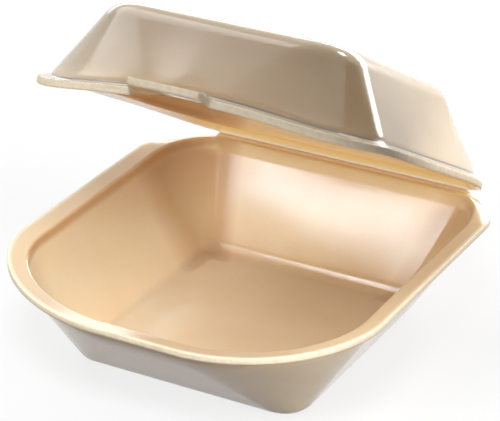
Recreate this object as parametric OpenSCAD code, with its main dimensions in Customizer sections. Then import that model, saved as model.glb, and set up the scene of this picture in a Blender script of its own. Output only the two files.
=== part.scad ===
// Hinged burger box, thermoformed from one sheet of foam and folded at a crushed hinge line.
// X runs along the hinge, +Y points to the hinge, +Z is up.
// The origin is the middle of the flat underside of the base.

/* [Rims of base and lid] */
// Distance of the hinge line behind the middle of the floor
hinge_back = 68; // [64:0.5:74]
// Length of the hinge line
hinge_l = 103; // [90:1:112]
// Sideways offset of the middle of the hinge line, to the right
hinge_shift = 1.5; // [-3:0.5:3]
// Depth of the notch trimmed at each end of the hinge line
hinge_notch = 2.4; // [1:0.1:3.5]
// Width of the flange along the hinge
hinge_flange_w = 4; // [3:0.5:6]
// Rise of the flange from its inner to its outer edge
flange_rise = 1.5; // [0.5:0.1:2.5]
// Bevel of the edge between flange and step
edge_bevel = 1.2; // [1:0.1:1.3]
// How far the step beside the flange leans outwards over its height
step_run = 0.5; // [0.2:0.1:1.2]
// Sag of both rims at the front corners
corner_sag = 0.8; // [0:0.1:2.5]

/* [Base] */
// Width over the base's rim, along the hinge
base_rim_w = 137; // [130:1:144]
// Depth from the hinge line to the front of the base's rim
base_rim_d = 143.5; // [138:0.5:152]
// Depth taken by the bowed front of the base's rim
base_bow_d = 43; // [34:1:50]
// Depth taken by each rounded back corner of the base's rim
base_corner_d = 24; // [18:1:32]
// Width of the base's flange along the front and the sides
base_flange_w = 7; // [5.5:0.5:8.5]
// Height of the rim above the underside
base_h = 38.5; // [34:0.5:46]
// Width of the floor between the feet of the walls
floor_w = 85; // [76:1:94]
// Depth of the floor between the feet of the walls
floor_d = 88; // [78:1:96]
// Corner radius of the floor, in plan
floor_r = 8; // [6:1:16]
// Inner fillet between floor and wall
floor_fillet = 4; // [3:0.5:9]
// Height of the steep step under the base's flange
base_step_h = 4; // [3:0.5:6]
// Sag of the rim in the middle of the front
front_dip = 3.5; // [0:0.1:5]
// Sag of the flange at each back corner
corner_dip = 2.3; // [0:0.1:3.5]

/* [Lid] */
// Width over the lid's rim, along the hinge
lid_rim_w = 129; // [122:1:136]
// Depth from the hinge line to the front of the lid's rim
lid_rim_d = 137; // [132:0.5:144]
// Depth taken by the bowed front of the lid's rim
lid_bow_d = 34; // [26:1:44]
// Depth taken by each rounded back corner of the lid's rim
lid_corner_d = 39; // [24:1:44]
// Width of the lid's flange along the front and the sides
lid_flange_w = 6.5; // [5.5:0.5:8.5]
// Height of the lid's top above its rim
lid_h = 30.5; // [27:0.5:36]
// Width of the top between the heads of the walls
top_w = 89; // [80:1:98]
// Depth of the top between the heads of the walls
top_d = 94; // [82:1:100]
// Distance of the hinge line behind the middle of the top
top_back = 67.5; // [64:0.1:72]
// Corner radius of the top, in plan
top_r = 13; // [8:1:22]
// Inner fillet between top and wall
top_fillet = 8; // [4:0.5:10]
// Height of the steep step over the lid's flange
lid_step_h = 2.5; // [2.5:0.5:6]
// Arch of the rim in the middle of the front
front_arch = 1; // [0:0.1:3]
// Droop of the flange at the left front corner, where the foam is bent
left_droop = 2.8; // [0:0.1:3]
// Angle of the lid from closed, as modelled
lid_open = 29.5; // [0:0.5:150]

/* [Lock tab] */
// Width of the tab in the middle of the lid's front flange
tab_w = 28; // [16:1:36]
// How far the tab stands out of the flange
tab_l = 6; // [3:0.5:9]

/* [Sheet] */
// Thickness of the foam sheet
sheet_t = 2.5; // [1.8:0.1:3]
// Thickness of the crushed foam at the hinge line
hinge_t = 1; // [0.6:0.1:1.8]
// Drop of the hinge line below the rim
hinge_drop = 1.4; // [0:0.1:2]
// Clear gap between base and lid across the hinge line
hinge_gap = 0.4; // [0.3:0.1:0.8]
// Clear gap between the two rims when closed
rim_gap = 0.4; // [0.3:0.1:0.8]

/* [Hidden] */

foam = "#D9BA90";

// Steps along each stretch of half the outline
bow_n = 14;
side_n = 4;
corner_n = 8;
// Steps round each fillet of the profile
fillet_n = 4;
blend_n = 2;

// Rounding of the tab's corners and of the hinge line's ends, in plan
tab_corner = 1;
notch_corner = 0.6;
// Radius where the wall turns up into the step
step_fillet = 5;
// Foot of the inner wall, inside the outer one, per sheet thickness
foot_share = 0.54;
// Width of the flat ring inside the fillet
flat_ring = 2;
// How far inside the foot the flat's outline is taken, and its least corner radius
flat_inset = 10;
flat_r = 0.5;

// Station in the middle of the bent flange, and how far it reaches to each side
droop_at = 0.4;
droop_reach = 0.9;

front_flat = tab_w / 2;
hinge_z = base_h - hinge_drop + rim_gap / 2;

function lerp(a, b, s) = a + (b - a) * s;
function smooth(s) = s * s * (3 - 2 * s);

// Stations along half the outline, from the middle of the front to the middle of the hinge:
// below 0 the tab, 0 to 1 the bowed front, 1 to 2 the side, 2 to 3 the back corner, 4 the hinge
half_stations = concat(
    [-1, -1],
    [for (i = [0:bow_n]) i / bow_n],
    [for (i = [1:side_n]) 1 + i / side_n],
    [for (i = [1:corner_n]) 2 + i / corner_n],
    [4, 4]);

// Half an outline with its front middle at yf, its sides at w and its hinge edge at yb
function half_outline(w, flat, a, yf, ys, yk, yb, notch, tab) = concat(
    [[0, yf - tab], [flat - tab_corner, yf - tab]],
    [for (i = [0:bow_n]) [lerp(flat, w, sin(90 * i / bow_n)), lerp(ys, yf, cos(90 * i / bow_n))]],
    [for (i = [1:side_n]) [w, lerp(ys, yk, i / side_n)]],
    [for (i = [1:corner_n]) [lerp(a, w, cos(90 * i / corner_n)), lerp(yk, yb - notch, sin(90 * i / corner_n))]],
    [[a - notch_corner, yb], [0, yb]]);

// The right half h, and the mirror image of g without its two points on the middle line
function both_halves(h, g) = concat(h, [for (i = [len(g) - 2:-1:1]) [-g[i][0], g[i][1]]]);
function both_stations(h) = concat(h, [for (i = [len(h) - 2:-1:1]) h[i]]);

stations = both_stations(half_stations);
around = len(stations);

// Half the rim, w wide and d deep from the hinge line, with its front bowed over bow,
// its back corner rounded over back, the hinge line's end at a, and a tab
function rim_half(w, d, bow, back, tab, a) = half_outline(w / 2, front_flat, a,
    hinge_back - d, hinge_back - d + bow, hinge_back - hinge_notch - back, hinge_back - hinge_gap / 2,
    hinge_notch, tab);
function rim_outline(w, d, bow, back, tab) = both_halves(
    rim_half(w, d, bow, back, tab, hinge_l / 2 + hinge_shift),
    rim_half(w, d, bow, back, tab, hinge_l / 2 - hinge_shift));

// Top of the wall inside such a rim, with a flange of its own width
function wall_top_half(w, d, bow, back, flange, a) = half_outline(w / 2 - flange, front_flat,
    a - hinge_flange_w, hinge_back - d + flange, hinge_back - d + bow,
    hinge_back - hinge_notch - back, hinge_back - hinge_flange_w, 0, 0);
function wall_top_outline(w, d, bow, back, flange) = both_halves(
    wall_top_half(w, d, bow, back, flange, hinge_l / 2 + hinge_shift),
    wall_top_half(w, d, bow, back, flange, hinge_l / 2 - hinge_shift));

// Rounded rectangle, w by d with corner radius r, its middle at y
function plate_half(w, d, r, y) = half_outline(w / 2, w / 2 - r, w / 2 - r,
    y - d / 2, y - d / 2 + r, y + d / 2 - r, y + d / 2, 0, 0);
function plate_outline(w, d, r, y) = both_halves(plate_half(w, d, r, y), plate_half(w, d, r, y));

// Share of the front's sag, of the front corners' sag and of the back corners' dip at a station
function front_share(u) = u < 1 ? pow(cos(90 * max(u, 0)), 4) : 0;
function front_corner_share(u) = u > 0 && u < 1 ? pow(sin(180 * u), 2) : 0;
function back_corner_share(u) = u > 2 && u < 3 ? pow(sin(180 * (u - 2)), 2) : 0;
function hinge_share(u) = u <= 2 ? 0 : u < 3 ? smooth(u - 2) : 1;
function droop_share(u) = u < 0 || abs(u - droop_at) > droop_reach ? 0 :
    pow(cos(90 * (u - droop_at) / droop_reach), 2);

// Round of radius r where a profile turns at a corner from angle a to angle b
function profile_fillet(corner, a, b, r, n) =
    let (reach = r * tan((b - a) / 2))
    let (centre = corner - reach * [cos(a), sin(a)] + r * [-sin(a), cos(a)])
    [for (i = [0:n]) let (q = lerp(a, b, i / n)) centre + r * [sin(q), -cos(q)]];

// Inner profile of a tray of height h, from its floor to its rim, as [distance out of the foot, height]
function tray_profile(h, flare, flange, fillet, step_h) =
    let (foot = [-foot_share * sheet_t, sheet_t])
    let (shoulder = [flare - step_run, h - flange_rise - step_h])
    let (edge = [flare, h - flange_rise])
    let (wall_a = atan2(shoulder[1] - foot[1], shoulder[0] - foot[0]))
    let (step_a = atan2(step_h, step_run))
    let (flange_a = atan2(flange_rise, flange))
    let (floor_arc = profile_fillet(foot, 0, wall_a, fillet, fillet_n))
    concat(
        [floor_arc[0] - [flat_ring, 0]],
        floor_arc,
        profile_fillet(shoulder, wall_a, step_a, step_fillet, blend_n),
        [edge - edge_bevel * [cos(step_a), sin(step_a)]],
        [edge + edge_bevel * [cos(flange_a), sin(flange_a)]],
        [[flare + flange, h]]);

function unit(v) = v / norm(v);
function right_of(v) = [v[1], -v[0]];

// Offset of each point of a profile by t towards its outer side, straight down at both ends
function profile_offset(p, t) = [for (i = [0:len(p) - 1])
    i == 0 || i == len(p) - 1 ? [0, -t] :
    let (m = right_of(unit(p[i] - p[i - 1])))
    let (n = right_of(unit(p[i + 1] - p[i])))
    t * (m + n) / (1 + m * n)];

// Outline at distance r out of the foot, between the flat's, the foot's, the wall top's and the rim's
function outline_at(r, flat, foot, wall_top, rim, flare, flange) =
    r < 0 ? lerp(foot, flat, -r / flat_inset) :
    r <= flare ? lerp(foot, wall_top, r / flare) : lerp(wall_top, rim, (r - flare) / flange);

// Triangles between two rings of points
function band(a, b) = [for (k = [0:around - 1]) let (n = (k + 1) % around)
    each [[a + k, b + n, b + k], [a + k, a + n, b + n]]];

// Triangles between one ring of points and a point in its middle, seen from above
function fan(a, m) = [for (k = [0:around - 1]) [a + (k + 1) % around, a + k, m]];
function flipped(faces) = [for (f = faces) [f[0], f[2], f[1]]];

// Open tray with its flat floor down: a loft of the profile round the outlines.
// size is its rim's width and depth, the depths of its bowed front and of its back corners,
// its flange's width, its height and its step's height, w, d and r its foot in plan with the middle at y, fillet its inner fillet,
// front and corner are the rim's lift in the middle and at the corners of the front,
// dip is the flange's drop at the back corners, fall its drop along the hinge,
// droop the bend of its left front corner, and tab the length of a flat tab on the front.
module tray(size, w, d, r, y, fillet, front, corner, dip, fall, droop, tab) {
    flange = size[4];
    h = size[5];
    step_h = size[6];
    flare = size[0] / 2 - flange - w / 2;
    flat = plate_outline(w - 2 * flat_inset, d - 2 * flat_inset, max(r - flat_inset, flat_r), y);
    foot = plate_outline(w, d, r, y);
    wall_top = wall_top_outline(size[0], size[1], size[2], size[3], flange);
    rim = rim_outline(size[0], size[1], size[2], size[3], 0);
    cut_edge = rim_outline(size[0], size[1], size[2], size[3], tab);
    inner = tray_profile(h, flare, flange, fillet, step_h);
    shift = profile_offset(inner, sheet_t);
    last = len(inner) - 1;
    full_sag_z = h - flange_rise - step_h;

    // Lift of station u, its share at each ring, and the flange's own rise to its outer edge
    lift = [for (u = stations) front * front_share(u) + corner * front_corner_share(u)];
    share = [for (p = inner) min(1, max(0, (p[1] - sheet_t) / (full_sag_z - sheet_t)))];
    lip = [for (k = [0:around - 1])
        let (u = stations[k])
        let (bend = k < len(half_stations) ? 0 : droop * droop_share(u))
        u < 0 && tab > 0 ? 0 : flange_rise + bend - fall * hinge_share(u) - dip * back_corner_share(u)];
    edge_t = [for (u = stations) u > 3 ? hinge_t : sheet_t];

    inner_rings = [for (j = [0:last])
        let (line = j == last ? cut_edge :
            outline_at(inner[j][0], flat, foot, wall_top, rim, flare, flange))
        [for (k = [0:around - 1])
            let (z = j < last ? inner[j][1] : h - flange_rise + lip[k])
            [line[k][0], line[k][1], z + lift[k] * share[j]]]];

    outer_rings = [for (j = [last:-1:0])
        let (line = j == last ? cut_edge :
            outline_at(inner[j][0] + shift[j][0], flat, foot, wall_top, rim, flare, flange))
        [for (k = [0:around - 1])
            let (z = j < last ? inner[j][1] + shift[j][1] : h - flange_rise + lip[k] - edge_t[k])
            [line[k][0], line[k][1], z + lift[k] * share[j]]]];

    rings = concat(inner_rings, outer_rings);
    middles = [[0, y, sheet_t], [0, y, 0]];
    points = concat([for (ring = rings) each ring], middles);
    floor_fan = fan(0, len(points) - 2);
    walls = [for (j = [0:len(rings) - 2]) each band(j * around, (j + 1) * around)];
    under_fan = flipped(fan((len(rings) - 1) * around, len(points) - 1));
    polyhedron(points, concat(floor_fan, walls, under_fan), convexity = 6);
}

module base() {
    color(foam)
        tray([base_rim_w, base_rim_d, base_bow_d, base_corner_d, base_flange_w, base_h, base_step_h],
            floor_w, floor_d, floor_r, 0, floor_fillet, -front_dip, -corner_sag, corner_dip, hinge_drop, 0, 0);
}

// The lid's tray is made floor down, turned over onto the base and swung open about the hinge line
module lid() {
    color(foam)
        translate([0, hinge_back, hinge_z])
            rotate([-lid_open, 0, 0])
                translate([0, -hinge_back, base_h + rim_gap + lid_h - hinge_z])
                    mirror([0, 0, 1])
                        tray([lid_rim_w, lid_rim_d, lid_bow_d, lid_corner_d, lid_flange_w, lid_h, lid_step_h],
                            top_w, top_d, top_r, hinge_back - top_back, top_fillet,
                            -front_arch, corner_sag, 0, -hinge_drop, left_droop, tab_l);
}

base();
lid();
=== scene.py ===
# Hinged foam burger box: finer shells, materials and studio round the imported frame.
# X runs along the hinge, +Y points to the hinge, +Z is up. Lengths are in mm until a mesh is made.
import math

import bpy
import numpy as np
from mathutils import Matrix


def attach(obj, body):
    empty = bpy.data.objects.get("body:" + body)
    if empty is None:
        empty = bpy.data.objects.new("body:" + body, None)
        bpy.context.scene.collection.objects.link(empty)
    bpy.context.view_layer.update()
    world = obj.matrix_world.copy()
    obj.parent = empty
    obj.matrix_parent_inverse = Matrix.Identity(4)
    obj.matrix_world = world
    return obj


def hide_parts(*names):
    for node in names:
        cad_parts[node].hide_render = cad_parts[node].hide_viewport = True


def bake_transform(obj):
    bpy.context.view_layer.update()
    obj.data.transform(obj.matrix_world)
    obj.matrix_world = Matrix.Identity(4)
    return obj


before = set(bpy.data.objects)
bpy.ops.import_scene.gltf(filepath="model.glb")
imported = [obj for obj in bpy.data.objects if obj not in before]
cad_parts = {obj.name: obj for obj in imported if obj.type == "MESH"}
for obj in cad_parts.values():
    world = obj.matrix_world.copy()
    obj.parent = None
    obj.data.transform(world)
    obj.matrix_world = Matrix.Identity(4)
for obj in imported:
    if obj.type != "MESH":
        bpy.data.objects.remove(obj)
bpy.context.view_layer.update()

MM = 0.001

# Sizes of the part's source, in mm and degrees
HINGE_BACK, HINGE_L, HINGE_SHIFT, HINGE_NOTCH, HINGE_FLANGE = 68.0, 103.0, 1.5, 2.4, 4.0
FLANGE_RISE, STEP_RUN, CORNER_SAG = 1.5, 0.5, 0.8
SHEET_T, HINGE_T, HINGE_DROP, HINGE_GAP, RIM_GAP = 2.5, 1.0, 1.4, 0.4, 0.4
TAB_W, TAB_L, TAB_CORNER, NOTCH_CORNER = 28.0, 6.0, 1.0, 0.6
STEP_FILLET, FOOT_SHARE, FLAT_RING, FLAT_INSET, FLAT_R = 5.0, 0.54, 2.0, 10.0, 0.5
DROOP_AT, DROOP_REACH = 0.4, 0.9
FRONT_FLAT = TAB_W / 2
BASE_H, LID_H, LID_OPEN = 38.5, 30.5, 29.5
HINGE_Z = BASE_H - HINGE_DROP + RIM_GAP / 2

BASE = dict(rim_w=137.0, rim_d=143.5, bow=43.0, corner=24.0, flange=7.0, h=BASE_H, step=4.0, w=85.0, d=88.0, r=8.0,
            y=0.0, fillet=4.0, front=-3.5, sag=-CORNER_SAG, dip=2.3, fall=HINGE_DROP, droop=0.0, tab=0.0, seed=11,
            bowed=0.8, ledge=0.1)
LID = dict(rim_w=129.0, rim_d=137.0, bow=34.0, corner=39.0, flange=6.5, h=LID_H, step=2.5, w=89.0, d=94.0, r=13.0,
           y=0.5, fillet=8.0, front=-1.0, sag=CORNER_SAG, dip=0.0, fall=-HINGE_DROP, droop=2.8, tab=TAB_L, seed=71,
           bowed=0.3, ledge=0.0)

# Steps along each stretch of half an outline and round each fillet of the profile
FRONT_N, TAB_ROUND_N, TAB_SIDE_N, BOW_N, SIDE_N, CORNER_N, NOTCH_N, HINGE_N = 9, 5, 5, 60, 24, 40, 6, 26
FOOT_N, SHOULDER_N, STEP_N, EDGE_N, FLANGE_N, FLOOR_N = 10, 6, 2, 6, 6, 8
TAB_ROUND = 1.5
# Shares of the wall's height at its rows, and the low ledge that runs along the foot of the base's walls
WALL_AT = [0.015, 0.03, 0.045, 0.06, 0.075, 0.09, 0.11, 0.14, 0.2, 0.28, 0.37, 0.46, 0.55, 0.64, 0.73, 0.82, 0.91]
LEDGE_AT, LEDGE_W = 1.5, 0.7
# How much tighter the floor's corners are inside than outside
INNER_R = 3.5
# Share of the step shade's darker tone that is also laid on the flange
FLANGE_DARK_SHARE = 0.35
# Tangent lengths of the rounded edge between flange and step, inside and outside
EDGE_BEVEL, EDGE_BEVEL_OUT = 0.85, 0.8
# Rounding and roughness of the cut edge
CUT_ROUND, CUT_ROUND_SHARE, CUT_FLAT, CUT_N = 0.45, 0.7, 0.55, 6
CUT_ROUGH, FINE_W, COARSE_W, COARSE_SHARE, COARSE_SEED = 0.12, 1.2, 4.0, 0.4, 20
# Rows over which the painted glow on the crushed foam and the painted step shade fade out
CRUSH_GLOW_ROWS, STEP_SHADE_ROWS = 4, 5


def lerp(a, b, s):
    return a + (b - a) * s


def smooth(s):
    return s * s * (3 - 2 * s)


# Stations of half an outline: for each point its stretch and its share along that stretch
def half_stations():
    rows = []
    flat = FRONT_FLAT - TAB_CORNER
    start = (flat - TAB_ROUND) / flat
    for i in range(FRONT_N):
        rows.append(("front", start * i / FRONT_N, 0.0))
    for i in range(TAB_ROUND_N + 1):
        q = math.radians(90 * i / TAB_ROUND_N)
        rows.append(("front", (flat - TAB_ROUND + TAB_ROUND * math.sin(q)) / flat, TAB_ROUND * (1 - math.cos(q))))
    for kind, steps in (("tab_side", TAB_SIDE_N), ("bow", BOW_N), ("side", SIDE_N),
                        ("corner", CORNER_N), ("notch", NOTCH_N), ("hinge", HINGE_N)):
        rows += [(kind, i / steps, 0.0) for i in range(1, steps + 1)]
    return rows


HALF = half_stations()
AROUND = 2 * len(HALF) - 2
START_U = {"front": -1.0, "tab_side": 0.0, "bow": 0.0, "side": 1.0, "corner": 2.0, "notch": 3.0, "hinge": 4.0}


def half_outline(w, flat, a, yf, ys, yk, yb, notch, tab):
    pts = []
    inner = flat - TAB_CORNER
    for kind, s, cut in HALF:
        q = math.radians(90 * s)
        if kind == "front":
            pts.append((inner * s, yf - max(0.0, tab - cut if tab else 0.0)))
        elif kind == "tab_side":
            pts.append((lerp(inner, flat, s), yf - (tab - TAB_ROUND) * (1 - s) if tab else yf))
        elif kind == "bow":
            pts.append((lerp(flat, w, math.sin(q)), lerp(ys, yf, math.cos(q))))
        elif kind == "side":
            pts.append((w, lerp(ys, yk, s)))
        elif kind == "corner":
            pts.append((lerp(a, w, math.cos(q)), lerp(yk, yb - notch, math.sin(q))))
        elif kind == "notch":
            pts.append((a - NOTCH_CORNER * (1 - math.cos(q)), yb - notch * (1 - math.sin(q))))
        else:
            pts.append(((a - NOTCH_CORNER) * (1 - s), yb))
    return pts


def both_halves(right, left):
    return np.array(right + [(-x, y) for x, y in left[-2:0:-1]])


def both(values):
    return np.array(values + values[-2:0:-1])


def rim_half(p, tab, end):
    front = HINGE_BACK - p["rim_d"]
    return half_outline(p["rim_w"] / 2, FRONT_FLAT, end, front, front + p["bow"],
                        HINGE_BACK - HINGE_NOTCH - p["corner"], HINGE_BACK - HINGE_GAP / 2, HINGE_NOTCH, tab)


def rim_outline(p, tab):
    return both_halves(rim_half(p, tab, HINGE_L / 2 + HINGE_SHIFT), rim_half(p, tab, HINGE_L / 2 - HINGE_SHIFT))


def wall_top_half(p, end):
    front = HINGE_BACK - p["rim_d"]
    return half_outline(p["rim_w"] / 2 - p["flange"], FRONT_FLAT, end - HINGE_FLANGE, front + p["flange"],
                        front + p["bow"], HINGE_BACK - HINGE_NOTCH - p["corner"], HINGE_BACK - HINGE_FLANGE, 0.0, 0.0)


def wall_top_outline(p):
    return both_halves(wall_top_half(p, HINGE_L / 2 + HINGE_SHIFT), wall_top_half(p, HINGE_L / 2 - HINGE_SHIFT))


def plate_outline(w, d, r, y):
    half = half_outline(w / 2, w / 2 - r, w / 2 - r, y - d / 2, y - d / 2 + r, y + d / 2 - r, y + d / 2, 0.0, 0.0)
    return both_halves(half, half)


STATIONS = both([START_U[k] + (s if k in ("bow", "side", "corner", "notch") else 0.0) for k, s, _ in HALF])
# Share of the tab, and of the crushed hinge line, at each station
TAB_SHARE = both([1.0 if k == "front" else 1 - s if k == "tab_side" else 0.0 for k, s, _ in HALF])
# Share of the way from the middle of the front to the side of the tab
FRONT_X = both([s if k == "front" else 1.0 for k, s, _ in HALF])
HINGE_THIN = both([smooth(s) if k == "notch" else 1.0 if k == "hinge" else 0.0 for k, s, _ in HALF])
# Share of the duller coat and of the painted shade in the inner back corners, which is less at the right
DULL_REACH, DULL_RIGHT = 0.4, 0.75
CORNER_DULL_SHADE = both([1.0 if k in ("corner", "notch") else smooth(max(0.0, 1 - s / DULL_REACH)) if k == "hinge" else
             smooth(max(0.0, 1 - (1 - s) / DULL_REACH)) if k == "side" else 0.0 for k, s, _ in HALF])
LEFT = np.arange(AROUND) >= len(HALF)


def front_share(u):
    return np.where(u < 1, np.cos(np.radians(90 * np.clip(u, 0, 1))) ** 4, 0)


def front_corner_share(u):
    return np.where((u > 0) & (u < 1), np.sin(np.radians(180 * u)) ** 2, 0)


def back_corner_share(u):
    return np.where((u > 2) & (u < 3), np.sin(np.radians(180 * (u - 2))) ** 2, 0)


def hinge_share(u):
    return smooth(np.clip(u - 2, 0, 1))


def droop_share(u):
    near = np.abs(u - DROOP_AT) <= DROOP_REACH
    return np.where(near, np.cos(np.radians(90 * (u - DROOP_AT) / DROOP_REACH)) ** 2, 0)


def turn(a):
    return np.array([math.cos(a), math.sin(a)])


# Round of tangent length reach at a corner where a profile turns from angle a to angle b
def arc(corner, a, b, reach, n):
    r = reach / math.tan((b - a) / 2)
    centre = corner - reach * turn(a) + r * np.array([-math.sin(a), math.cos(a)])
    return [centre + r * np.array([math.sin(q), -math.cos(q)]) for q in np.linspace(a, b, n + 1)]


def between(a, b, n):
    return [lerp(a, b, i / (n + 1)) for i in range(1, n + 1)]


def angle(a, b):
    return math.atan2(b[1] - a[1], b[0] - a[0])


def mitre(a, b, t):
    m, n = np.array([math.sin(a), -math.cos(a)]), np.array([math.sin(b), -math.cos(b)])
    return t * (m + n) / (1 + m @ n)


# Inner and outer profile of a tray, up to the rounded edge of the flange, point by point beside each other
def profiles(p):
    flare = p["rim_w"] / 2 - p["flange"] - p["w"] / 2
    h, t = p["h"], SHEET_T
    foot = np.array([-FOOT_SHARE * t, t])
    shoulder = np.array([flare - STEP_RUN, h - FLANGE_RISE - p["step"]])
    edge = np.array([flare, h - FLANGE_RISE])
    wall_a, step_a = angle(foot, shoulder), math.atan2(p["step"], STEP_RUN)
    flange_a = math.atan2(FLANGE_RISE, p["flange"])

    def run(foot, shoulder, edge, fillet, blend, bevel):
        floor_arc = arc(foot, 0.0, wall_a, fillet * math.tan(wall_a / 2), FOOT_N)
        shoulder_arc = arc(shoulder, wall_a, step_a, blend * math.tan((step_a - wall_a) / 2), SHOULDER_N)
        edge_arc = arc(edge, step_a, flange_a, bevel, EDGE_N)
        return floor_arc, shoulder_arc, edge_arc

    inner = run(foot, shoulder, edge, p["fillet"], STEP_FILLET, EDGE_BEVEL)
    outer = run(foot + mitre(0.0, wall_a, t), shoulder + mitre(wall_a, step_a, t), edge + mitre(step_a, flange_a, t),
                p["fillet"] + t, STEP_FILLET + t, EDGE_BEVEL_OUT)

    def line(f, s, e, bow, ledge):
        out = np.array([math.sin(wall_a), -math.cos(wall_a)])
        length = np.linalg.norm(s[0] - f[-1])
        wall = []
        for q in WALL_AT:
            at = q * length
            ridge = ledge * math.exp(-((at - LEDGE_AT) / LEDGE_W) ** 2)
            wall.append(lerp(f[-1], s[0], q) + out * (bow * 4 * q * (1 - q) - ridge))
        return np.array([f[0] - np.array([FLAT_RING, 0.0])] + f + wall + s + between(s[-1], e[0], STEP_N) + e)

    return line(*inner, p["bowed"], p["ledge"]), line(*outer, 0.0, 0.0), flare


def outline_at(r, flat, foot, wall_top, rim, flare, flange):
    if r < 0:
        return lerp(foot, flat, -r / FLAT_INSET)
    if r <= flare:
        return lerp(foot, wall_top, r / flare)
    return lerp(wall_top, rim, (r - flare) / flange)


# Seeded smooth noise along the closed rim, from -1 to 1
def rim_noise(seed, width):
    rng = np.random.default_rng(seed)
    v = rng.normal(size=AROUND)
    kernel = np.exp(-0.5 * (np.arange(-4 * width, 4 * width + 1) / width) ** 2)
    kernel /= kernel.sum()
    v = np.convolve(np.concatenate([v, v, v]), kernel, mode="same")[AROUND:2 * AROUND]
    return v / np.abs(v).max()


# Depth of the pits in one row of the cut face
def cut_roughness(seed):
    noise = lerp(rim_noise(seed, FINE_W), rim_noise(seed + COARSE_SEED, COARSE_W), COARSE_SHARE)
    return CUT_ROUGH * (0.5 + 0.5 * noise)


# Rings of a tray from the middle of its inside, over the cut edge, to the middle of its outside
def tray_rings(p):
    inner, outer, flare = profiles(p)
    flat = plate_outline(p["w"] - 2 * FLAT_INSET, p["d"] - 2 * FLAT_INSET, max(p["r"] - FLAT_INSET, FLAT_R), p["y"])
    foot = plate_outline(p["w"], p["d"], p["r"], p["y"])
    inner_foot = plate_outline(p["w"], p["d"], p["r"] - INNER_R, p["y"])
    wall_top, rim, cut = wall_top_outline(p), rim_outline(p, 0.0), rim_outline(p, p["tab"])
    args = (flat, foot, wall_top, rim, flare, p["flange"])
    inner_args = (flat, inner_foot, wall_top, rim, flare, p["flange"])
    u = STATIONS
    full = p["h"] - FLANGE_RISE - p["step"]
    lift = p["front"] * front_share(u) + p["sag"] * front_corner_share(u)
    share = np.clip((inner[:, 1] - SHEET_T) / (full - SHEET_T), 0, 1)
    bend = np.where(LEFT, p["droop"] * droop_share(np.maximum(u, 0)) * smooth(FRONT_X), 0)
    lift = lift + bend
    lip = FLANGE_RISE - p["fall"] * hinge_share(u) - p["dip"] * back_corner_share(u)
    if p["tab"]:
        lip = lerp(lip, -bend, TAB_SHARE)
    thick = lerp(SHEET_T, HINGE_T, HINGE_THIN)

    def ring(line, z, s):
        return np.column_stack([line, z + lift * s])

    inside = [ring(outline_at(q[0], *inner_args), q[1] + np.zeros(AROUND), s) for q, s in zip(inner, share)]
    outside = [ring(outline_at(q[0], *args), q[1] + np.zeros(AROUND), s) for q, s in zip(outer, share)]
    top = ring(cut, p["h"] - FLANGE_RISE + lip, 1.0)
    bottom = top - np.column_stack([np.zeros((AROUND, 2)), thick])

    # Rounded top edge, rough cut face and rounded lower edge
    def inward(a, b):
        d = b - a
        return d / np.linalg.norm(d, axis=1)[:, None]

    top_in, low_in = inward(top, inside[-1]), inward(bottom, outside[-1])
    rough = [cut_roughness(p["seed"] + i) for i in range(CUT_N)]
    fade = 1 - HINGE_THIN
    rows = []
    for i in range(CUT_N):
        s = (i + 0.5) / CUT_N
        flat_in = lerp(top_in, low_in, s)
        ends = max(0.0, abs(2 * s - 1) - CUT_FLAT) / (1 - CUT_FLAT)
        push = (CUT_ROUND * ends ** 2 * CUT_ROUND_SHARE + rough[i])[:, None] * fade[:, None]
        rows.append(lerp(top, bottom, s) + flat_in * push)
    flange_in = [lerp(inside[-1], top, i / FLANGE_N) for i in range(1, FLANGE_N)]
    flange_in.append(top + top_in * CUT_ROUND)
    flange_out = [lerp(outside[-1], bottom, i / FLANGE_N) for i in range(1, FLANGE_N)]
    flange_out.append(bottom + low_in * CUT_ROUND)
    return inside, flange_in, rows, flange_out[::-1], outside[::-1]


def floor_rings(first, y, z):
    middle = np.array([0.0, y, z])
    return [lerp(middle, first, i / FLOOR_N) for i in range(1, FLOOR_N)]


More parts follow.
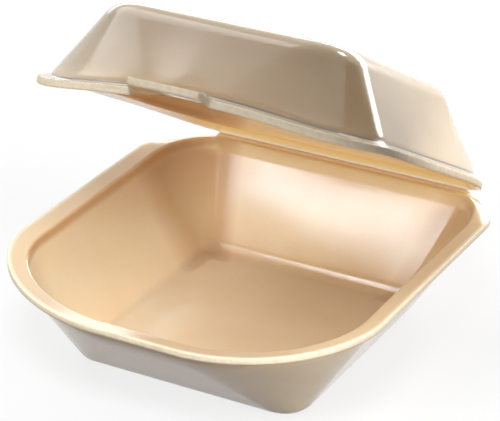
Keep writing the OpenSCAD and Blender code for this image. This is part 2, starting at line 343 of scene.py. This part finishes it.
def tray_mesh(name, p, place, mirrored):
    inside, flange_in, cut, flange_out, outside = tray_rings(p)
    floor_in = floor_rings(inside[0], p["y"], SHEET_T)
    floor_out = floor_rings(outside[-1], p["y"], 0.0)[::-1]
    rings = floor_in + inside + flange_in + cut + flange_out + outside + floor_out
    points = np.vstack(rings + [np.array([[0.0, p["y"], SHEET_T]]), np.array([[0.0, p["y"], 0.0]])])
    n_rings = len(rings)
    first_cut = len(floor_in) + len(inside) + len(flange_in) - 1
    last_cut = first_cut + len(cut)

    faces, kinds = [], []
    for j in range(n_rings - 1):
        a, b = j * AROUND, (j + 1) * AROUND
        kind = 1 if first_cut <= j <= last_cut else 0
        for k in range(AROUND):
            n = (k + 1) % AROUND
            faces.append((a + k, a + n, b + n, b + k))
            kinds.append(kind)
    top_mid, low_mid = len(points) - 2, len(points) - 1
    last = (n_rings - 1) * AROUND
    for k in range(AROUND):
        n = (k + 1) % AROUND
        faces.append((n, k, top_mid))
        faces.append((last + k, last + n, low_mid))
        kinds += [0, 0]
    if mirrored:
        faces = [f[::-1] for f in faces]
    points = place(points)

    mesh = bpy.data.meshes.new(name)
    mesh.from_pydata([tuple(q) for q in points * MM], [], faces)
    mesh.polygons.foreach_set("material_index", kinds)
    mesh.polygons.foreach_set("use_smooth", [True] * len(faces))

    # Share of the painted glow on the crushed foam beside the hinge line, and of the pale edge beside the cut face
    crush_glow = np.zeros(len(points))
    worn = np.zeros(len(points))
    hinge = hinge_share(STATIONS)
    start = len(floor_in)
    per_ring = [np.zeros(AROUND)] * start
    edge_first = len(inside) - EDGE_N - 1
    for j in range(len(inside)):
        near = np.clip((j - edge_first + CRUSH_GLOW_ROWS) / (EDGE_N + CRUSH_GLOW_ROWS), 0, 1)
        per_ring.append(hinge * near)
    for j in range(len(flange_in) + len(cut) + len(flange_out)):
        per_ring.append(hinge)
    per_ring += [np.zeros(AROUND)] * (n_rings - len(per_ring))
    crush_glow[:n_rings * AROUND] = np.concatenate(per_ring)
    for j in range(first_cut - 1, last_cut + 3):
        worn[j * AROUND:(j + 1) * AROUND] = 1.0
    # Painted shade: the inner back corners get a darker colour, along with a duller coat
    dull_and_shade = np.zeros(len(points))
    corners = CORNER_DULL_SHADE * np.where(LEFT, 1.0, DULL_RIGHT)
    dull_and_shade[start * AROUND:(start + len(inside)) * AROUND] = np.tile(corners, len(inside))
    # Painted shade along the steep step, which falls in shade, and a weaker share of the same darker tone on the
    # flange
    step_shade = np.zeros(len(points))
    step_first = start + len(inside) - (EDGE_N + 1) - STEP_N
    for j in range(step_first - STEP_SHADE_ROWS + 1, start + len(inside) + len(flange_in)):
        above = j - step_first
        near = max(-above, above - STEP_N, 0)
        share = max(1 - near / STEP_SHADE_ROWS, FLANGE_DARK_SHARE if j > step_first else 0.0)
        step_shade[j * AROUND:(j + 1) * AROUND] = share * (1 - hinge)
    for key, value in (("crush_glow", crush_glow), ("worn", worn), ("dull_and_shade", dull_and_shade), ("step_shade", step_shade)):
        layer = mesh.attributes.new(key, "FLOAT", "POINT")
        layer.data.foreach_set("value", value.astype(np.float32))
    mesh.update()
    mesh.validate()
    obj = bpy.data.objects.new(name, mesh)
    bpy.context.scene.collection.objects.link(obj)
    return obj


def base_place(points):
    return points


# The lid's back wall ends where the part's own box ends
BACK_MAX = 68.85


def lid_place(points):
    x, y, z = points.T
    y, z = y - HINGE_BACK, BASE_H + RIM_GAP + LID_H - HINGE_Z - z
    a = math.radians(-LID_OPEN)
    back = HINGE_BACK + y * math.cos(a) - z * math.sin(a)
    return np.column_stack([x, np.minimum(back, BACK_MAX), HINGE_Z + y * math.sin(a) + z * math.cos(a)])


# Thin film of crushed foam that joins both edges along the hinge line
WEB_R, WEB_FORE, WEB_AROUND, WEB_ALONG = 0.8, 1.2, 12, 90
WEB_TAPER, WEB_END = 1.6, 0.02


def web_mesh(name):
    half = HINGE_L / 2 - NOTCH_CORNER
    points, faces = [], []
    for i in range(WEB_ALONG + 1):
        along = lerp(-half, half, i / WEB_ALONG)
        x = along + HINGE_SHIFT
        end = min(half - abs(along), WEB_TAPER) / WEB_TAPER
        r = WEB_R * math.sqrt(max(WEB_END, 1 - (1 - end) ** 2))
        for k in range(WEB_AROUND):
            q = 2 * math.pi * k / WEB_AROUND
            points.append((x, HINGE_BACK - WEB_FORE + r * math.cos(q), HINGE_Z + r * math.sin(q)))
    for i in range(WEB_ALONG):
        for k in range(WEB_AROUND):
            n = (k + 1) % WEB_AROUND
            a, b = i * WEB_AROUND, (i + 1) * WEB_AROUND
            faces.append((a + k, a + n, b + n, b + k))
    faces.append(tuple(range(WEB_AROUND))[::-1])
    faces.append(tuple(range(WEB_ALONG * WEB_AROUND, (WEB_ALONG + 1) * WEB_AROUND)))
    mesh = bpy.data.meshes.new(name)
    mesh.from_pydata([tuple(MM * c for c in q) for q in points], [], faces)
    mesh.polygons.foreach_set("use_smooth", [True] * len(faces))
    for key, value in (("crush_glow", 1.0), ("worn", 0.0)):
        layer = mesh.attributes.new(key, "FLOAT", "POINT")
        layer.data.foreach_set("value", np.full(len(points), value, np.float32))
    mesh.update()
    obj = bpy.data.objects.new(name, mesh)
    bpy.context.scene.collection.objects.link(obj)
    return obj


def srgb(code):
    c = [int(code[i:i + 2], 16) / 255 for i in (0, 2, 4)]
    return tuple(v / 12.92 if v <= 0.04045 else ((v + 0.055) / 1.055) ** 2.4 for v in c) + (1.0,)


class Nodes:
    """Small helper round a material's node tree"""

    def __init__(self, material):
        material.use_nodes = True
        self.tree = material.node_tree
        self.tree.nodes.clear()

    def add(self, kind, inputs=None, **settings):
        node = self.tree.nodes.new(kind)
        for key, value in settings.items():
            setattr(node, key, value)
        for key, value in (inputs or {}).items():
            if isinstance(value, bpy.types.NodeSocket):
                self.tree.links.new(value, node.inputs[key])
            else:
                node.inputs[key].default_value = value
        return node

    def noise(self, vector, scale, detail=2.0, rough=0.5):
        return self.add("ShaderNodeTexNoise", {"Vector": vector, "Scale": scale, "Detail": detail,
                                               "Roughness": rough}).outputs["Fac"]

    def cells(self, vector, scale):
        inputs = {"Vector": vector, "Scale": scale, "Randomness": 1.0}
        return self.add("ShaderNodeTexVoronoi", inputs).outputs["Distance"]

    def ramp(self, value, low, high, to_low=0.0, to_high=1.0):
        return self.add("ShaderNodeMapRange", {"Value": value, "From Min": low, "From Max": high, "To Min": to_low,
                                               "To Max": to_high}).outputs["Result"]

    def mix(self, factor, a, b):
        node = self.add("ShaderNodeMix", data_type="RGBA")
        for index, value in ((0, factor), (6, a), (7, b)):
            if isinstance(value, bpy.types.NodeSocket):
                self.tree.links.new(value, node.inputs[index])
            else:
                node.inputs[index].default_value = value
        return node.outputs[2]

    def math(self, kind, a, b):
        return self.add("ShaderNodeMath", {0: a, 1: b}, operation=kind).outputs[0]


SKIN, SKIN_DEEP, SKIN_PALE = srgb("E7CDAA"), srgb("DCBD96"), srgb("EDD8BD")
# Darker tone painted as shade into the inner back corners
CORNER_SHADE = srgb("BC9B74")
# The second tone here is the darker colour painted as shade along the step
FILM, STEP_SHADE_TONE = srgb("FBE6C4"), srgb("B98A55")
# The first tone here is a warm tint painted as light glowing through the crushed hinge foam
CRUSHED_GLOW, CUT, CUT_DEEP = srgb("F2CC94"), srgb("F8E7CC"), srgb("EFD9B8")


# Cells per metre of the foam's patterns
CLOUD_SCALE, GRAIN_SCALE, CELL_SCALE, GLOSS_SCALE = 45.0, 1500.0, 900.0, 160.0
CUT_CELL_SCALE, CUT_GRAIN_SCALE = 1100.0, 500.0
# Strongest share of each tone over the skin
CLOUDS_MOST, GRAIN_MOST, CRUSH_GLOW_MOST, STEP_SHADE_MOST, WORN_MOST, CORNER_SHADE_MOST = 0.35, 0.25, 0.8, 0.65, 0.6, 0.7
# Roughness of the coat, what the dull corners add to it, and the coat that is left there
COAT_LOW, COAT_HIGH, COAT_DULL, COAT_LEFT = 0.1, 0.14, 0.1, 0.2
FOAM_DEPTH, FOAM_RADIUS = 0.006, (1.0, 0.93, 0.84)


def skin_material():
    material = bpy.data.materials.new("foam_skin")
    n = Nodes(material)
    at = n.add("ShaderNodeTexCoord").outputs["Object"]
    clouds = n.ramp(n.noise(at, CLOUD_SCALE, 3.0), 0.35, 0.65)
    grain = n.noise(at, GRAIN_SCALE, 2.0, 0.6)
    cells = n.cells(at, CELL_SCALE)
    colour = n.mix(n.math("MULTIPLY", clouds, CLOUDS_MOST), SKIN, SKIN_DEEP)
    colour = n.mix(n.ramp(grain, 0.45, 0.8, 0.0, GRAIN_MOST), colour, SKIN_PALE)
    crush_glow = n.add("ShaderNodeAttribute", attribute_name="crush_glow").outputs["Fac"]
    # Painted glow: the crushed hinge band is tinted warmer, standing in for back light shining through the thin foam
    colour = n.mix(n.math("MULTIPLY", crush_glow, CRUSH_GLOW_MOST), colour, CRUSHED_GLOW)
    step_shade = n.add("ShaderNodeAttribute", attribute_name="step_shade").outputs["Fac"]
    # Painted shade: darker tone along the step, weaker on the flange
    colour = n.mix(n.math("MULTIPLY", step_shade, STEP_SHADE_MOST), colour, STEP_SHADE_TONE)
    worn = n.add("ShaderNodeAttribute", attribute_name="worn").outputs["Fac"]
    colour = n.mix(n.math("MULTIPLY", worn, WORN_MOST), colour, CUT)
    rough = n.ramp(n.noise(at, GLOSS_SCALE, 3.0), 0.3, 0.7, COAT_LOW, COAT_HIGH)
    dull_and_shade = n.add("ShaderNodeAttribute", attribute_name="dull_and_shade").outputs["Fac"]
    # Painted shade: the inner back corners are mixed towards a darker tone
    colour = n.mix(n.ramp(dull_and_shade, 0.5, 1.0, 0.0, CORNER_SHADE_MOST), colour, CORNER_SHADE)
    rough = n.math("ADD", rough, n.math("MULTIPLY", dull_and_shade, COAT_DULL))
    gloss = n.ramp(dull_and_shade, 0.8, 1.0, 1.0, COAT_LEFT)
    height = n.math("ADD", n.math("MULTIPLY", cells, 0.6), n.math("MULTIPLY", grain, 0.4))
    fine = n.add("ShaderNodeBump", {"Strength": 0.06, "Distance": 0.0004, "Height": height})
    # The gloss is a coat of its own, so that the mottle does not disturb the light inside the foam
    shader = n.add("ShaderNodeBsdfPrincipled", {
        "Base Color": colour, "Roughness": 0.6, "Specular IOR Level": 0.0, "Subsurface Weight": 0.8,
        "Subsurface Scale": FOAM_DEPTH, "Coat Weight": gloss, "Coat Roughness": rough, "Coat IOR": 1.6,
        "Coat Normal": fine.outputs["Normal"]})
    shader.inputs["Subsurface Radius"].default_value = FOAM_RADIUS
    out = n.add("ShaderNodeOutputMaterial", {"Surface": shader.outputs["BSDF"]})
    out.is_active_output = True
    return material


def cut_material():
    material = bpy.data.materials.new("foam_cut_edge")
    n = Nodes(material)
    at = n.add("ShaderNodeTexCoord").outputs["Object"]
    cells = n.cells(at, CUT_CELL_SCALE)
    grain = n.noise(at, CUT_GRAIN_SCALE, 4.0, 0.65)
    colour = n.mix(n.ramp(grain, 0.4, 0.7), CUT, CUT_DEEP)
    height = n.math("ADD", n.math("MULTIPLY", cells, 0.7), n.math("MULTIPLY", grain, 0.5))
    bump = n.add("ShaderNodeBump", {"Strength": 0.25, "Distance": 0.0005, "Height": height})
    rough = n.ramp(grain, 0.3, 0.7, 0.6, 0.8)
    shader = n.add("ShaderNodeBsdfPrincipled", {
        "Base Color": colour, "Roughness": rough, "IOR": 1.45, "Normal": bump.outputs["Normal"]})
    n.add("ShaderNodeOutputMaterial", {"Surface": shader.outputs["BSDF"]})
    return material


# Pressed film of the hinge line, which lets the light from behind through
def film_material():
    material = bpy.data.materials.new("foam_film")
    n = Nodes(material)
    front = n.add("ShaderNodeBsdfDiffuse", {"Color": FILM})
    through = n.add("ShaderNodeBsdfTranslucent", {"Color": FILM})
    mixed = n.add("ShaderNodeMixShader", {0: 0.5, 1: front.outputs["BSDF"], 2: through.outputs["BSDF"]})
    n.add("ShaderNodeOutputMaterial", {"Surface": mixed.outputs["Shader"]})
    return material


skin, cut_edge, film = skin_material(), cut_material(), film_material()
base_shell = tray_mesh("base_shell", BASE, base_place, False)
lid_shell = tray_mesh("lid_shell", LID, lid_place, True)
hinge_web = web_mesh("hinge_web")
for piece in (base_shell, lid_shell):
    piece.data.materials.append(skin)
    piece.data.materials.append(cut_edge)
hinge_web.data.materials.append(film)

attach(base_shell, "base")
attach(lid_shell, "lid")
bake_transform(hinge_web)
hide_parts("base")
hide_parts("lid")

# Camera, fitted to the edges of the box in the picture
CAM_AZ, CAM_EL = 28.97, 26.52
CAM_BACK, CAM_RIGHT, CAM_UP, CAM_Y = 831.46, -0.36, 40.61, 3.04
CAM_LENS, CAM_SENSOR, CAM_NEAR, CAM_FAR = 172.62, 36.0, 0.01, 50.0


def placed(right, up, back, place):
    return Matrix([list(right) + [0], list(up) + [0], list(back) + [0], list(place) + [1]]).transposed()


def add_camera():
    az, el = math.radians(CAM_AZ), math.radians(CAM_EL)
    back = np.array([math.sin(az) * math.cos(el), -math.cos(az) * math.cos(el), math.sin(el)])
    right = np.array([math.cos(az), math.sin(az), 0.0])
    up = np.cross(back, right)
    place = (back * CAM_BACK + right * CAM_RIGHT + up * CAM_UP + np.array([0.0, CAM_Y, 0.0])) * MM
    data = bpy.data.cameras.new("camera")
    data.lens, data.sensor_width, data.sensor_fit = CAM_LENS, CAM_SENSOR, "HORIZONTAL"
    data.clip_start, data.clip_end = CAM_NEAR, CAM_FAR
    camera = bpy.data.objects.new("camera", data)
    camera.matrix_world = placed(right, up, back, place)
    bpy.context.scene.collection.objects.link(camera)
    bpy.context.scene.camera = camera


# Share of the rays that see the white backdrop: those of the camera, of gloss and of glass
def rays_shown_white(n):
    rays = n.add("ShaderNodeLightPath").outputs
    glossy = n.math("MAXIMUM", rays["Is Glossy Ray"], rays["Is Transmission Ray"])
    return n.math("MAXIMUM", rays["Is Camera Ray"], glossy)


WHITE, BLACK, WARM = (1.0, 1.0, 1.0, 1.0), (0.02, 0.02, 0.02, 1.0), (1.0, 0.97, 0.93, 1.0)
FLOOR_HALF, FLOOR_WHITE = 6.0, 0.8
FLOOR_CARD, FLOOR_PALE = (0.12, 0.117, 0.113, 1.0), (0.8, 0.8, 0.8, 1.0)
WORLD_FILL = 0.3


# Floor that is white with a soft shadow to the camera and to gloss, and a dark card to diffuse light
def add_floor():
    mesh = bpy.data.meshes.new("floor")
    s = FLOOR_HALF
    mesh.from_pydata([(-s, -s, 0), (s, -s, 0), (s, s, 0), (-s, s, 0)], [], [(0, 1, 2, 3)])
    floor = bpy.data.objects.new("floor", mesh)
    bpy.context.scene.collection.objects.link(floor)
    material = bpy.data.materials.new("pale_floor")
    n = Nodes(material)
    seen = rays_shown_white(n)
    card = n.add("ShaderNodeBsdfDiffuse", {"Color": FLOOR_CARD})
    pale = n.add("ShaderNodeBsdfDiffuse", {"Color": FLOOR_PALE})
    white = n.add("ShaderNodeEmission", {"Color": WHITE, "Strength": 1.0})
    shown = n.add("ShaderNodeMixShader", {0: FLOOR_WHITE, 1: pale.outputs["BSDF"], 2: white.outputs["Emission"]})
    mixed = n.add("ShaderNodeMixShader", {0: seen, 1: card.outputs["BSDF"], 2: shown.outputs["Shader"]})
    n.add("ShaderNodeOutputMaterial", {"Surface": mixed.outputs["Shader"]})
    mesh.materials.append(material)


def add_world():
    world = bpy.data.worlds.new("studio")
    bpy.context.scene.world = world
    n = Nodes(world)
    seen = rays_shown_white(n)
    fill = n.add("ShaderNodeBackground", {"Color": WARM, "Strength": WORLD_FILL})
    white = n.add("ShaderNodeBackground", {"Color": WHITE, "Strength": 1.0})
    mixed = n.add("ShaderNodeMixShader", {0: seen, 1: fill.outputs[0], 2: white.outputs[0]})
    n.add("ShaderNodeOutputWorld", {"Surface": mixed.outputs[0]})


# Soft boxes: shape, direction from the box, distance and size in metres, roll in degrees, strength in watts
LIGHTS = [
    ("front_left", "RECTANGLE", (-0.352, -0.752, 0.556), 1.2, (0.24, 0.38), 30.0, 3.2),
    ("front_top", "ELLIPSE", (0.24, -0.52, 0.82), 1.2, (0.5, 0.5), 0.0, 11.5),
    ("sky_left", "ELLIPSE", (-0.657, 0.372, 0.657), 1.2, (0.84, 0.84), 0.0, 4.0),
    ("back_top", "ELLIPSE", (0.23, 0.70, 0.67), 1.4, (0.3, 0.3), 0.0, 4.0),
    ("back_low", "ELLIPSE", (0.10, 1.00, 0.13), 1.5, (1.5, 0.5), 0.0, 14.0),
    ("back_left", "ELLIPSE", (-0.62, 0.78, 0.12), 1.3, (0.9, 0.4), 0.0, 1.5),
    ("front_low", "ELLIPSE", (0.05, -0.97, 0.22), 1.2, (0.5, 0.12), 0.0, 4.5),
    ("right_low", "ELLIPSE", (0.89, -0.25, 0.37), 1.3, (0.6, 0.35), 0.0, 7.5),
]
AIM = np.array([0.0, 0.0, 0.05])
COOL, NEUTRAL = (0.84, 0.91, 1.0), (1.0, 1.0, 1.0)


def add_light(name, shape, direction, distance, size, roll, power):
    data = bpy.data.lights.new(name, "AREA")
    data.shape, data.size, data.size_y, data.energy = shape, size[0], size[1], power
    data.color = COOL if name == "front_left" else NEUTRAL
    light = bpy.data.objects.new(name, data)
    back = np.array(direction) / np.linalg.norm(direction)
    right = np.cross([0.0, 0.0, 1.0], back)
    right /= np.linalg.norm(right)
    up = np.cross(back, right)
    c, s = math.cos(math.radians(roll)), math.sin(math.radians(roll))
    right, up = c * right - s * up, c * up + s * right
    place = AIM + back * distance
    light.matrix_world = placed(right, up, back, place)
    light.visible_camera = False
    bpy.context.scene.collection.objects.link(light)


# Black cards, unseen by the camera: three keep light off the lid, one keeps the low front light off the base
FLAGS = [
    [(-0.10, -0.082, 0.154), (0.13, -0.082, 0.154), (0.13, -0.040, 0.1805), (-0.10, -0.040, 0.1805)],
    [(0.12, -0.10, 0.104), (0.12, 0.09, 0.104), (0.12, 0.09, 0.20), (0.12, -0.10, 0.20)],
    [(-0.12, -0.16, 0.124), (0.12, -0.16, 0.124), (0.12, -0.16, 0.156), (-0.12, -0.16, 0.156)],
    [(-0.25, -0.16, 0.002), (0.25, -0.16, 0.002), (0.25, -0.16, 0.055), (-0.25, -0.16, 0.055)],
]


def add_flags():
    material = bpy.data.materials.new("black_card")
    n = Nodes(material)
    card = n.add("ShaderNodeBsdfDiffuse", {"Color": BLACK})
    n.add("ShaderNodeOutputMaterial", {"Surface": card.outputs["BSDF"]})
    for corners in FLAGS:
        mesh = bpy.data.meshes.new("flag")
        mesh.from_pydata(corners, [], [(0, 1, 2, 3)])
        mesh.materials.append(material)
        flag = bpy.data.objects.new("flag", mesh)
        bpy.context.scene.collection.objects.link(flag)
        flag.visible_camera = False


add_camera()
add_floor()
add_world()
add_flags()
for row in LIGHTS:
    add_light(*row)
bpy.context.scene.view_settings.view_transform = "Standard"
